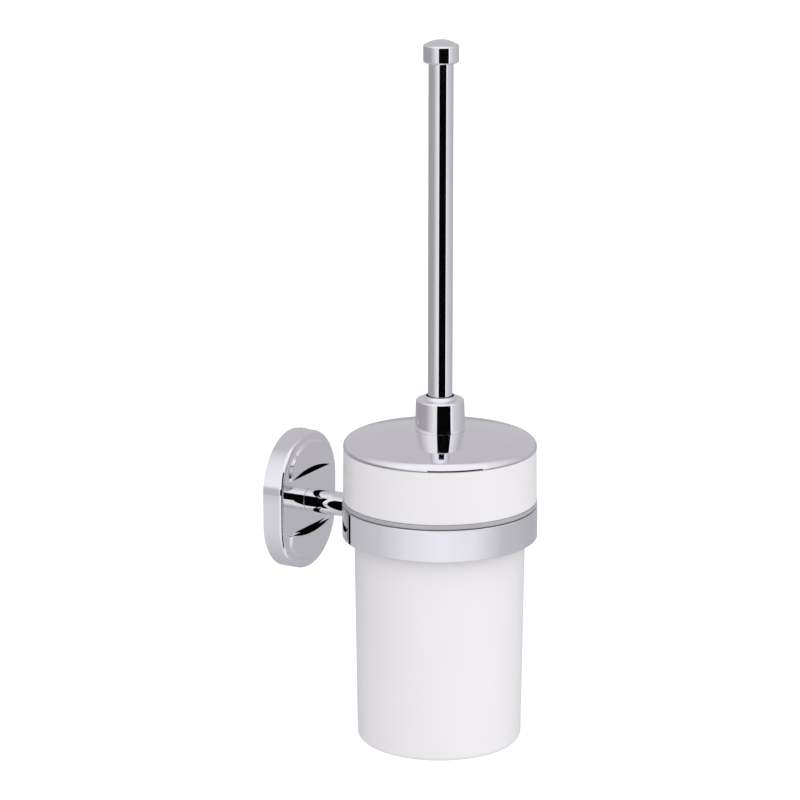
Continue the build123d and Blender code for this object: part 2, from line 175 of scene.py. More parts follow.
def only(piece):
    """Selects one piece and makes it the active one."""
    clear()
    piece.select_set(True)
    bpy.context.view_layer.objects.active = piece


def pick(piece, kind, test):
    """Goes into edit mode with the piece's vertices, edges or faces that pass the test selected."""
    only(piece)
    mesh = piece.data
    for group in (mesh.vertices, mesh.edges, mesh.polygons):
        group.foreach_set("select", [False] * len(group))
    if kind == "VERT":
        for vertex in mesh.vertices:
            vertex.select = test(vertex.co)
    elif kind == "EDGE":
        for edge in mesh.edges:
            edge.select = all(test(mesh.vertices[i].co) for i in edge.vertices)
    else:
        for face in mesh.polygons:
            face.select = test(face.center, face.normal)
    bpy.context.tool_settings.mesh_select_mode = (kind == "VERT", kind == "EDGE", kind == "FACE")
    bpy.ops.object.mode_set(mode="EDIT")


def near(value, target, slack=0.02 * MM):
    return abs(value - target) < slack


def drawn(points):
    """A line of edges made by extruding one vertex from point to point."""
    clear()
    here = Vector(points[0])
    bpy.ops.mesh.primitive_plane_add(size=MM, location=here)
    bpy.ops.object.transform_apply(location=True, rotation=False, scale=False)
    bpy.context.tool_settings.mesh_select_mode = (True, False, False)
    bpy.ops.object.mode_set(mode="EDIT")
    bpy.ops.mesh.select_all(action="SELECT")
    bpy.ops.mesh.merge(type="CENTER")
    for point in points[1:]:
        step = Vector(point) - here
        bpy.ops.mesh.extrude_vertices_move(TRANSFORM_OT_translate={"value": step})
        here = Vector(point)
    bpy.ops.mesh.select_all(action="SELECT")
    bpy.ops.mesh.remove_doubles(threshold=0.001 * MM)
    return bpy.context.object


def round_corner(piece, corner, offset, segments=5):
    """Bevels the vertex of a drawn line that lies at the corner, given as (x, z)."""
    pick(piece, "VERT", lambda place: near(place.x, corner[0]) and near(place.z, corner[1]))
    bpy.ops.mesh.bevel(offset=offset, segments=segments, affect="VERTICES")


def turned(profile, roundings=(), closed=True, steps=160):
    """A profile of (radius, height) points spun about the cup's axis."""
    points = [(radius, AXIS_Y, height) for radius, height in profile]
    if closed:
        points.append(points[0])
    piece = drawn(points)
    for corner, offset, segments in roundings:
        round_corner(piece, corner, offset, segments)
    bpy.ops.mesh.select_all(action="SELECT")
    bpy.ops.mesh.spin(steps=steps, angle=2 * pi, center=(0, AXIS_Y, 0), axis=(0, 0, 1))
    bpy.ops.mesh.select_all(action="SELECT")
    bpy.ops.mesh.remove_doubles(threshold=0.002 * MM)
    bpy.ops.mesh.normals_make_consistent(inside=False)
    bpy.ops.object.mode_set(mode="OBJECT")
    return piece


def arc(centre, radius, start, end, count):
    """Points (x, z) along an arc, from the start angle to the end angle, both included."""
    angles = [start + (end - start) * i / count for i in range(count + 1)]
    return [(centre[0] + radius * cos(a), centre[1] + radius * sin(a)) for a in angles]


def combine(piece, tool, operation):
    """Joins the tool to the piece, or cuts it out of it, and deletes the tool."""
    only(piece)
    change = piece.modifiers.new(operation.lower(), "BOOLEAN")
    change.operation = operation
    change.object = tool
    change.solver = "EXACT"
    bpy.ops.object.modifier_apply(modifier=change.name)
    bpy.data.objects.remove(tool)


def block(x_half, y_low, y_high, z_low, z_high):
    """A box centred on x = 0, for joining to another piece."""
    clear()
    bpy.ops.mesh.primitive_cube_add(size=1, location=(0, (y_low + y_high) / 2, (z_low + z_high) / 2))
    bpy.ops.transform.resize(value=(2 * x_half, y_high - y_low, z_high - z_low))
    bpy.ops.object.transform_apply(location=True, rotation=True, scale=True)
    return bpy.context.object


def bar_along_y(radius, near_y, far_y, height=0.0, vertices=64):
    """A round bar parallel to Y, between two places on Y."""
    clear()
    bpy.ops.mesh.primitive_cylinder_add(
        vertices=vertices, radius=radius, depth=abs(far_y - near_y),
        location=(0, (near_y + far_y) / 2, height), rotation=(pi / 2, 0, 0),
    )
    bpy.ops.object.transform_apply(location=True, rotation=True, scale=True)
    return bpy.context.object


def complete(piece, name, body, nodes, finish, corner=30.0, even=True):
    """Shades a finished piece, gives it its finish and fixes it to its body."""
    only(piece)
    bpy.ops.object.transform_apply(location=True, rotation=True, scale=True)
    bpy.ops.object.shade_smooth_by_angle(angle=radians(corner))
    if even:
        shading = piece.modifiers.new("even_shading", "WEIGHTED_NORMAL")
        shading.keep_sharp = True
        bpy.ops.object.modifier_apply(modifier=shading.name)
    piece.name = name
    piece.data.name = name
    piece.data.materials.clear()
    piece.data.materials.append(finish)
    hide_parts(*nodes)
    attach(piece, body)


# ---- finishes ---------------------------------------------------------------------------------
def graph(name):
    """A new material with its node tree and its shader."""
    material = bpy.data.materials.new(name)
    material.use_nodes = True
    tree = material.node_tree
    return material, tree, tree.nodes["Principled BSDF"]


def noise(tree, scale, detail=3.0, stretch=(1, 1, 1)):
    """A noise on the piece's own coordinates."""
    place = tree.nodes.new("ShaderNodeTexCoord")
    turn = tree.nodes.new("ShaderNodeMapping")
    turn.inputs["Scale"].default_value = stretch
    grain = tree.nodes.new("ShaderNodeTexNoise")
    grain.inputs["Scale"].default_value = scale
    grain.inputs["Detail"].default_value = detail
    tree.links.new(place.outputs["Object"], turn.inputs["Vector"])
    tree.links.new(turn.outputs["Vector"], grain.inputs["Vector"])
    return grain.outputs["Fac"]


def shades(tree, factor, tints, socket, spread=(0.3, 0.7)):
    """Colours a socket between two tints."""
    ramp = tree.nodes.new("ShaderNodeValToRGB")
    for element, tint, at in zip(ramp.color_ramp.elements, tints, spread):
        element.color = (*tint, 1.0)
        element.position = at
    tree.links.new(factor, ramp.inputs["Fac"])
    tree.links.new(ramp.outputs["Color"], socket)


def varied(tree, factor, lowest, highest, socket):
    """Drives a socket between two values."""
    span = tree.nodes.new("ShaderNodeMapRange")
    span.inputs["From Min"].default_value = 0.3
    span.inputs["From Max"].default_value = 0.7
    span.inputs["To Min"].default_value = lowest
    span.inputs["To Max"].default_value = highest
    tree.links.new(factor, span.inputs["Value"])
    tree.links.new(span.outputs["Result"], socket)


def relief(tree, factor, depth, shader, strength=0.3):
    """Raises the surface a little by a height, in metres."""
    bump = tree.nodes.new("ShaderNodeBump")
    bump.inputs["Distance"].default_value = depth
    bump.inputs["Strength"].default_value = strength
    tree.links.new(factor, bump.inputs["Height"])
    tree.links.new(bump.outputs["Normal"], shader.inputs["Normal"])


def tinted(tint, factor):
    return tuple(min(1.0, part * factor) for part in tint)


def chrome(name, tint, roughness):
    """Polished plating: a bright metal with faint wipe marks and a trace of waviness."""
    material, tree, shader = graph(name)
    shader.inputs["Metallic"].default_value = 1.0
    shades(tree, noise(tree, 40.0), (tinted(tint, 0.985), tinted(tint, 1.01)), shader.inputs["Base Color"])
    wipes = noise(tree, 260.0, 4.0, (1, 1, 0.25))
    varied(tree, wipes, roughness * 0.7, roughness * 1.5, shader.inputs["Roughness"])
    relief(tree, noise(tree, 90.0, 1.0), 0.01 * MM, shader, 0.06)
    return material


def glaze(name, tint):
    """White satin glaze with a soft unevenness and very fine pin marks."""
    material, tree, shader = graph(name)
    shader.inputs["Coat Weight"].default_value = 0.25
    shader.inputs["Coat Roughness"].default_value = 0.22
    tints = (tinted(tint, 0.985), tinted(tint, 1.01))
    shades(tree, noise(tree, 22.0, 4.0), tints, shader.inputs["Base Color"])
    varied(tree, noise(tree, 180.0), 0.34, 0.46, shader.inputs["Roughness"])
    relief(tree, noise(tree, 420.0, 2.0), 0.02 * MM, shader, 0.12)
    return material


def moulded(name, tint, roughness, grain=900.0, depth=0.02):
    """Moulded plastic or rubber: slightly uneven colour and a fine grain."""
    material, tree, shader = graph(name)
    shades(tree, noise(tree, 60.0), (tinted(tint, 0.94), tinted(tint, 1.05)), shader.inputs["Base Color"])
    varied(tree, noise(tree, grain), roughness * 0.85, roughness * 1.15, shader.inputs["Roughness"])
    relief(tree, noise(tree, grain, 2.0), depth * MM, shader, 0.2)
    return material


def bright_metal(name, tint, roughness, stretch, scale=300.0):
    """Turned, drawn or plated metal: a grain that runs one way."""
    material, tree, shader = graph(name)
    shader.inputs["Metallic"].default_value = 1.0
    lines = noise(tree, scale, 5.0, stretch)
    shades(tree, lines, (tinted(tint, 0.82), tinted(tint, 1.1)), shader.inputs["Base Color"])
    varied(tree, lines, roughness * 0.8, roughness * 1.3, shader.inputs["Roughness"])
    relief(tree, lines, 0.03 * MM, shader, 0.25)
    return material


def strands(name, tint):
    """Nylon filaments: pale, slightly see-through, with painted shade that darkens them towards the core, where
    the tufts shade one another.
    """
    material, tree, shader = graph(name)
    place = tree.nodes.new("ShaderNodeTexCoord")
    centre = tree.nodes.new("ShaderNodeMapping")
    centre.inputs["Location"].default_value = (0, -AXIS_Y, 0)
    centre.inputs["Scale"].default_value = (1, 1, 0)
    size = tree.nodes.new("ShaderNodeVectorMath")
    size.operation = "LENGTH"
    outward = tree.nodes.new("ShaderNodeMapRange")
    outward.inputs["From Min"].default_value = reach("brush_head")
    outward.inputs["From Max"].default_value = reach("bristles")
    tree.links.new(place.outputs["Object"], centre.inputs["Vector"])
    tree.links.new(centre.outputs["Vector"], size.inputs[0])
    tree.links.new(size.outputs["Value"], outward.inputs["Value"])
    # Painted shade: the base colour falls to 0.72 of the tint near the core, standing in for shade among the
    # tufts.
    tints = (tinted(tint, 0.72), tint)
    shades(tree, outward.outputs["Result"], tints, shader.inputs["Base Color"], (0.0, 0.8))
    varied(tree, noise(tree, 700.0), 0.38, 0.55, shader.inputs["Roughness"])
    shader.inputs["Sheen Weight"].default_value = 0.15
    return material


def finish(kind):
    """The finish of a kind, made when it is first asked for."""
    if kind in bpy.data.materials:
        return bpy.data.materials[kind]
    looks = bpy.context.scene.holder_finishes
    polish = looks.chrome_polish
    makers = {
        "chrome_plate": lambda: chrome(kind, tuple(looks.chrome), polish),
        "cup_glaze": lambda: glaze(kind, tuple(looks.glaze)),
        "liner_grey": lambda: moulded(kind, tuple(looks.liner), 0.32, 500.0, 0.01),
        # The seat's near-black is partly painted shade for the gap between the lid and the cup.
        "seat_black_gap_shade": lambda: moulded(kind, tuple(looks.seat), 0.55),
        "nylon_natural": lambda: moulded(kind, (0.82, 0.81, 0.77), 0.42),
        "rubber_black": lambda: moulded(kind, (0.03, 0.03, 0.03), 0.7, 600.0, 0.05),
        "core_white": lambda: moulded(kind, (0.84, 0.84, 0.83), 0.3, 500.0, 0.01),
        "brass_turned": lambda: bright_metal(kind, (0.72, 0.55, 0.27), 0.28, (1, 1, 8)),
        "steel_turned": lambda: bright_metal(kind, (0.60, 0.60, 0.61), 0.25, (1, 8, 1)),
        "zinc_plated": lambda: bright_metal(kind, (0.62, 0.64, 0.66), 0.38, (1, 1, 1), 120.0),
        "filaments": lambda: strands(kind, tuple(looks.filaments)),
    }
    return makers[kind]()


# ---- wall side --------------------------------------------------------------------------------
class HOLDER_OT_rosette(bpy.types.Operator):
    """Stadium-shaped cover with two raised crescents, hollow at the back"""

    bl_idname = "holder.rosette"
    bl_label = "Rosette"

    def petal(self, sizes, end_z):
        """A crescent with sloping walls, drawn about the upper end's centre."""
        half, tip, middle = sizes.petal_half, sizes.petal_tip, sizes.petal_middle
        rise = middle - tip
        inner_r = (half**2 + rise**2) / (2 * rise)
        straight = 3.0 * MM            # length beside each tip, for its rounding
        inner_half = asin((half - straight) / inner_r)
        outer_start = acos(half / sizes.petal_outer)
        outer = arc((0, end_z), sizes.petal_outer, outer_start, pi - outer_start, 40)
        inner = arc((0, middle - inner_r), inner_r, pi / 2 + inner_half, pi / 2 - inner_half, 24)
        embed = 0.4 * MM
        outline = [(x, FACE_Y + embed, z) for x, z in [*outer, (-half, tip), *inner, (half, tip)]]
        piece = drawn(outline + outline[:1])
        for side in (-1, 1):
            round_corner(piece, (side * half, tip), 2.6 * MM, 6)
        bpy.ops.mesh.select_all(action="SELECT")
        bpy.ops.mesh.edge_face_add()
        bpy.ops.mesh.extrude_region_move(TRANSFORM_OT_translate={"value": (0, -embed, 0)})
        bpy.ops.mesh.select_all(action="SELECT")
        bpy.ops.mesh.normals_make_consistent(inside=False)
        pick(piece, "FACE", lambda place, normal: normal.y < -0.9)
        bpy.ops.mesh.inset(thickness=sizes.petal_slope, depth=sizes.petal_height)
        top = FACE_Y - sizes.petal_height
        pick(piece, "EDGE", lambda place: near(place.y, top))
        bpy.ops.mesh.bevel(offset=0.25 * MM, segments=3, affect="EDGES", clamp_overlap=True)
        bpy.ops.object.mode_set(mode="OBJECT")
        return piece

    def flipped(self, piece):
        """A copy of an upper crescent turned over for the lower half."""
        only(piece)
        bpy.ops.object.duplicate()
        twin = bpy.context.object
        bpy.ops.transform.resize(value=(1, 1, -1), center_override=(0, 0, 0))
        bpy.ops.object.transform_apply(location=True, rotation=True, scale=True)
        bpy.ops.object.mode_set(mode="EDIT")
        bpy.ops.mesh.select_all(action="SELECT")
        bpy.ops.mesh.normals_make_consistent(inside=False)
        bpy.ops.object.mode_set(mode="OBJECT")
        return twin

    def execute(self, context):
        sizes = context.scene.holder_sizes
        corner_low, corner_high = box("rosette")
        radius = corner_high.x
        end_z = corner_high.z - radius
        clear()
        bpy.ops.mesh.primitive_circle_add(
            vertices=130, radius=radius, fill_type="NGON", location=(0, 0, 0), rotation=(pi / 2, 0, 0)
        )
        bpy.ops.object.transform_apply(location=True, rotation=True, scale=True)
        piece = bpy.context.object
        for side in (1, -1):
            pick(piece, "VERT", lambda place: place.z * side > 0)
            bpy.ops.transform.translate(value=(0, 0, side * end_z))
        bpy.ops.mesh.select_all(action="SELECT")
        bpy.ops.mesh.extrude_region_move(TRANSFORM_OT_translate={"value": (0, FACE_Y, 0)})
        bpy.ops.mesh.select_all(action="SELECT")
        bpy.ops.mesh.normals_make_consistent(inside=False)
        pick(piece, "EDGE", lambda place: near(place.y, FACE_Y))
        bpy.ops.mesh.bevel(offset=sizes.rosette_edge, segments=9, affect="EDGES")
        pick(piece, "FACE", lambda place, normal: normal.y > 0.9)
        bpy.ops.mesh.inset(thickness=sizes.rosette_wall)
        pocket = FACE_Y + sizes.rosette_face
        bpy.ops.mesh.extrude_region_move(TRANSFORM_OT_translate={"value": (0, pocket, 0)})
        bpy.ops.object.mode_set(mode="OBJECT")
        upper = self.petal(sizes, end_z)
        lower = self.flipped(upper)
        combine(piece, upper, "UNION")
        combine(piece, lower, "UNION")
        inside = corner_high.z - sizes.rosette_wall / 2
        combine(piece, block(9 * MM, -5 * MM, -0.5 * MM, 27.5 * MM, inside), "UNION")
        combine(piece, block(5 * MM, pocket - 1 * MM, -0.5 * MM, -inside, -inside + 6 * MM), "UNION")
        combine(piece, bar_along_y(3.2 * MM, pocket + 1 * MM, FACE_Y - 1 * MM), "DIFFERENCE")
        grub_low, grub_high = box("rosette_screw")
        clear()
        bpy.ops.mesh.primitive_cylinder_add(
            vertices=48, radius=grub_high.x + 0.02 * MM, depth=14 * MM,
            location=(0, (grub_low.y + grub_high.y) / 2, corner_low.z + 5 * MM),
        )
        combine(piece, bpy.context.object, "DIFFERENCE")
        complete(piece, "rosette_cover", "wall_side", ["rosette"], finish("chrome_plate"), 28.0)
        return {"FINISHED"}


class HOLDER_OT_arm(bpy.types.Operator):
    """Round bar from the rosette, coped to the ring's curve"""

    bl_idname = "holder.arm"
    bl_label = "Arm"

    def execute(self, context):
        corner_low, corner_high = box("arm")
        radius = corner_high.x
        piece = bar_along_y(radius, FACE_Y, corner_low.y - 1 * MM, vertices=128)
        pick(piece, "EDGE", lambda place: near(place.y, FACE_Y))
        bpy.ops.mesh.bevel(offset=0.3 * MM, segments=3, affect="EDGES")
        clear()
        bpy.ops.mesh.primitive_cylinder_add(
            vertices=512, radius=reach("ring_band"), depth=4 * radius, location=(0, AXIS_Y, 0)
        )
        combine(piece, bpy.context.object, "DIFFERENCE")
        combine(piece, bar_along_y(3.0 * MM, FACE_Y + 1 * MM, FACE_Y - 12 * MM), "DIFFERENCE")
        complete(piece, "arm_bar", "wall_side", ["arm"], finish("chrome_plate"))
        return {"FINISHED"}


class HOLDER_OT_ring(bpy.types.Operator):
    """Flat band that carries the cup, with a hole at the arm"""

    bl_idname = "holder.ring"
    bl_label = "Ring"

    def execute(self, context):
        sizes = context.scene.holder_sizes
        outer = reach("ring_band")
        bore = outer - sizes.ring_wall
        bottom, top = low("ring_band"), high("ring_band")
        corners = [(bore, bottom), (outer, bottom), (outer, top), (bore, top)]
        roundings = [(corner, sizes.ring_edge, 4) for corner in corners[1:3]]
        roundings += [(corner, 0.3 * MM, 2) for corner in (corners[0], corners[3])]
        piece = turned(corners, roundings, steps=192)
        back = AXIS_Y + bore
        combine(piece, bar_along_y(2.6 * MM, back + 5 * MM, back - 5 * MM, vertices=32), "DIFFERENCE")
        complete(piece, "ring_hoop", "wall_side", ["ring_band"], finish("chrome_plate"))
        return {"FINISHED"}


class HOLDER_OT_liner(bpy.types.Operator):
    """Grey insert in the ring, with the lip that the cup's shoulder rests on"""

    bl_idname = "holder.liner"
    bl_label = "Ring liner"

    def execute(self, context):
        sizes = context.scene.holder_sizes
        outer = reach("ring_liner")
        bore = sizes.liner_bore
        sleeve = reach("ring_band") - sizes.ring_wall - 0.1 * MM
        bottom, top = low("ring_liner"), high("ring_liner")
        seat = top - sizes.liner_lip
        gap, recess = sizes.liner_gap, outer - 1.4 * MM
        profile = [(bore, bottom), (sleeve, bottom), (sleeve, seat), (recess, seat), (recess, seat + gap)]
        profile += [(outer, seat + gap), (outer, top), (bore, top)]
        roundings = [
            ((outer, seat + gap), 0.2 * MM, 3), ((outer, top), 0.3 * MM, 3), ((bore, bottom), 0.5 * MM, 3),
        ]
        piece = turned(profile, roundings, steps=192)
        complete(piece, "liner_insert", "wall_side", ["ring_liner"], finish("liner_grey"))
        return {"FINISHED"}


# ---- cup --------------------------------------------------------------------------------------
class HOLDER_OT_cup(bpy.types.Operator):
    """White cup: straight upper part, shoulder on the liner, tapered lower part"""

    bl_idname = "holder.cup"
    bl_label = "Cup"

    def execute(self, context):
        sizes = context.scene.holder_sizes
        bottom, top = low("cup"), high("cup")
        shoulder_r = reach("cup")
        wall = sizes.cup_neck - sizes.cup_lower_bore
        foot_bore = sizes.cup_foot - wall
        floor = bottom + sizes.cup_floor
        neck = (sizes.cup_neck, SHOULDER)
        foot = (sizes.cup_foot, bottom)
        shoulder = (shoulder_r, SHOULDER)
        rim = (sizes.cup_top, top)
        mouth = (sizes.cup_upper_bore, top)
        step_top = (sizes.cup_upper_bore, SHOULDER + 5 * MM)
        step_low = (sizes.cup_lower_bore, SHOULDER - 2 * MM)
        inner_foot = (foot_bore, floor)
        outside = [(0, bottom), foot, neck, shoulder, rim]
        profile = outside + [mouth, step_top, step_low, inner_foot, (0, floor)]
        roundings = [
            (foot, 3.5 * MM, 8), (shoulder, 0.7 * MM, 4), (rim, 0.8 * MM, 5), (mouth, 0.8 * MM, 5),
            (step_top, 1.5 * MM, 4), (step_low, 1.5 * MM, 4), (inner_foot, 6 * MM, 8),
        ]
        piece = turned(profile, roundings, closed=False, steps=192)
        complete(piece, "cup_glazed", "cup", ["cup"], finish("cup_glaze"))
        return {"FINISHED"}


# ---- lid --------------------------------------------------------------------------------------
class HOLDER_OT_lid(bpy.types.Operator):
    """Domed lid with a rounded edge and a flat turned-in rim"""

    bl_idname = "holder.lid"
    bl_label = "Lid"

    def execute(self, context):
        sizes = context.scene.holder_sizes
        base, outer = low("lid_shell"), reach("lid_shell")
        dome, edge, sheet = sizes.dome_radius, sizes.lid_edge, sizes.lid_sheet
        edge_r = outer - edge
        centre_z = base - sqrt((dome - edge) ** 2 - edge_r**2)
        lean = asin(edge_r / (dome - edge))
        hole = 10 * MM
        rim = outer - sizes.lid_rim
        top = arc((0, centre_z), dome, pi / 2 - asin(hole / dome), pi / 2 - lean, 26)
        rounding = arc((edge_r, base), edge, pi / 2 - lean, 0, 14)[1:]
        inner_r = dome - sheet
        under = arc((0, centre_z), inner_r, pi / 2 - asin(rim / inner_r), pi / 2 - asin(hole / inner_r), 12)
        piece = turned(top + rounding + [(rim, base)] + under, steps=192)
        complete(piece, "lid_dome", "lid", ["lid_shell"], finish("chrome_plate"))
        return {"FINISHED"}


class HOLDER_OT_lid_seat(bpy.types.Operator):
    """Dark ring under the lid, its near-black partly the plastic's own colour and partly painted shade for the
    gap under the lid: a flange on the cup's rim and a spigot inside it
    """

    bl_idname = "holder.lid_seat"
    bl_label = "Lid seat"

    def execute(self, context):
        sizes = context.scene.holder_sizes
        bottom, top = low("lid_seat"), high("lid_seat")
        outer = reach("lid_seat")
        cup_rim, lid_base = high("cup"), low("lid_shell")
        bore, spigot = 42.6 * MM, 45.1 * MM
        rim = reach("lid_shell") - sizes.lid_rim
        profile = [
            (bore, bottom), (spigot, bottom), (spigot, cup_rim), (outer, cup_rim),
            (outer, lid_base), (rim, lid_base), (rim, top), (bore, top),
        ]
        roundings = [
            ((spigot, bottom), 0.8 * MM, 4), ((bore, bottom), 0.4 * MM, 3), ((outer, cup_rim), 0.15 * MM, 2),
        ]
        piece = turned(profile, roundings, steps=192)
        complete(piece, "seat_ring", "lid", ["lid_seat"], finish("seat_black_gap_shade"))
        return {"FINISHED"}


class HOLDER_OT_collar(bpy.types.Operator):
    """Tapered collar on the dome, with a small bead round the rod"""

    bl_idname = "holder.collar"
    bl_label = "Collar"

    def execute(self, context):
        sizes = context.scene.holder_sizes
        bottom, bead_top = low("lid_collar"), high("lid_collar")
        top = bead_top - sizes.collar_height
        bush, bush_top = reach("collar_bush"), high("collar_bush")
        spigot = 10 * MM
        bore = reach("handle_rod") + sizes.bead_play
        bead_lip = (sizes.bead + bore) / 2
        dome = sizes.dome_radius
        centre_z = high("lid_shell") - sqrt(dome**2 - spigot**2)
        seam = [(r, centre_z + sqrt(dome**2 - r**2)) for r in (spigot, sizes.collar_base)]
        shoulder = (sizes.collar_top, top)
        bead_foot = (sizes.bead, top)
        bead_edge = (bead_lip, bead_top)
        profile = [(bush, bottom), (spigot, bottom), *seam, shoulder, bead_foot, bead_edge]
        profile += [(bore, bead_top), (bore, bush_top), (bush, bush_top)]
        roundings = [
            (seam[1], 0.15 * MM, 2), (shoulder, 1.25 * MM, 8), (bead_foot, 0.2 * MM, 3),
            (bead_edge, 0.4 * MM, 5), ((bore, bead_top), 0.12 * MM, 2),
        ]
        piece = turned(profile, roundings, steps=144)
        complete(piece, "collar_sleeve", "lid", ["lid_collar"], finish("chrome_plate"))
        return {"FINISHED"}


# ---- brush ------------------------------------------------------------------------------------
class HOLDER_OT_handle(bpy.types.Operator):
    """Tube of the handle, with the groove for the stop ring"""

    bl_idname = "holder.handle"
    bl_label = "Handle tube"

    def execute(self, context):
        outer, bore = reach("handle_rod"), reach("rod_plug")
        bottom, top = low("handle_rod"), high("handle_rod")
        groove_low, groove_high = low("stop_ring"), high("stop_ring")
        groove = outer - 0.5 * MM
        profile = [
            (bore, bottom), (outer, bottom), (outer, groove_low), (groove, groove_low),
            (groove, groove_high), (outer, groove_high), (outer, top), (bore, top),
        ]
        roundings = [((outer, bottom), 0.3 * MM, 3)]
        piece = turned(profile, roundings, steps=96)
        complete(piece, "handle_tube", "brush", ["handle_rod"], finish("chrome_plate"))
        return {"FINISHED"}


class HOLDER_OT_cap(bpy.types.Operator):
    """Low domed cap on the handle's end"""

    bl_idname = "holder.cap"
    bl_label = "End cap"

    def execute(self, context):
        sizes = context.scene.holder_sizes
        outer, rod = reach("handle_cap"), reach("handle_rod")
        bottom, top = low("handle_cap"), high("handle_cap")
        stud, tube_end = reach("cap_stud"), high("handle_rod")
        tapped = tube_end + 5 * MM
        edge = 1.2 * MM
        shoulder = top - 3.4 * MM
        edge_r = outer - edge
        sag = top - shoulder - edge
        dome = (edge_r**2 + sag**2) / (2 * sag)
        rounding = arc((edge_r, shoulder), edge, 0, pi / 2, 8)
        lean = asin(edge_r / dome)
        crown = arc((0, top - dome), dome, pi / 2 - lean, pi / 2, 12)[1:]
        profile = [(0, tapped), (stud, tapped), (stud, tube_end), (rod, tube_end), (rod, bottom)]
        profile += [(outer - sizes.cap_bevel, bottom), (outer, bottom + sizes.cap_bevel)]
        piece = turned(profile + rounding + crown, closed=True, steps=128)
        complete(piece, "end_cap", "brush", ["handle_cap"], finish("chrome_plate"), 35.0)
        return {"FINISHED"}


class HOLDER_OT_core(bpy.types.Operator):
    """Plastic neck and core of the brush head, with two moulded rings on the neck"""

    bl_idname = "holder.core"
    bl_label = "Brush core"

    def execute(self, context):
        core, neck = reach("brush_head"), 8 * MM
        bottom, top = low("brush_head"), high("brush_head")
        core_top = high("bristles") + 3 * MM
        thread, socket = 4 * MM, top - 14 * MM
        cone = core_top + 4 * MM
        profile = [(0, bottom), (core, bottom), (core, core_top), (neck, cone)]
        for ridge in (cone + 3.5 * MM, cone + 7.5 * MM):
            profile += [(neck, ridge), (neck - 0.6 * MM, ridge + 0.6 * MM)]
            profile += [(neck - 0.6 * MM, ridge + 1.4 * MM), (neck, ridge + 2 * MM)]
        profile += [(neck, top), (thread, top), (thread, socket), (0, socket)]
        roundings = [((core, bottom), 7 * MM, 8), ((core, core_top), 1.5 * MM, 4), ((neck, top), 1 * MM, 4)]
        piece = turned(profile, roundings, closed=False, steps=96)
        complete(piece, "brush_core", "brush", ["brush_head"], finish("core_white"))
        return {"FINISHED"}


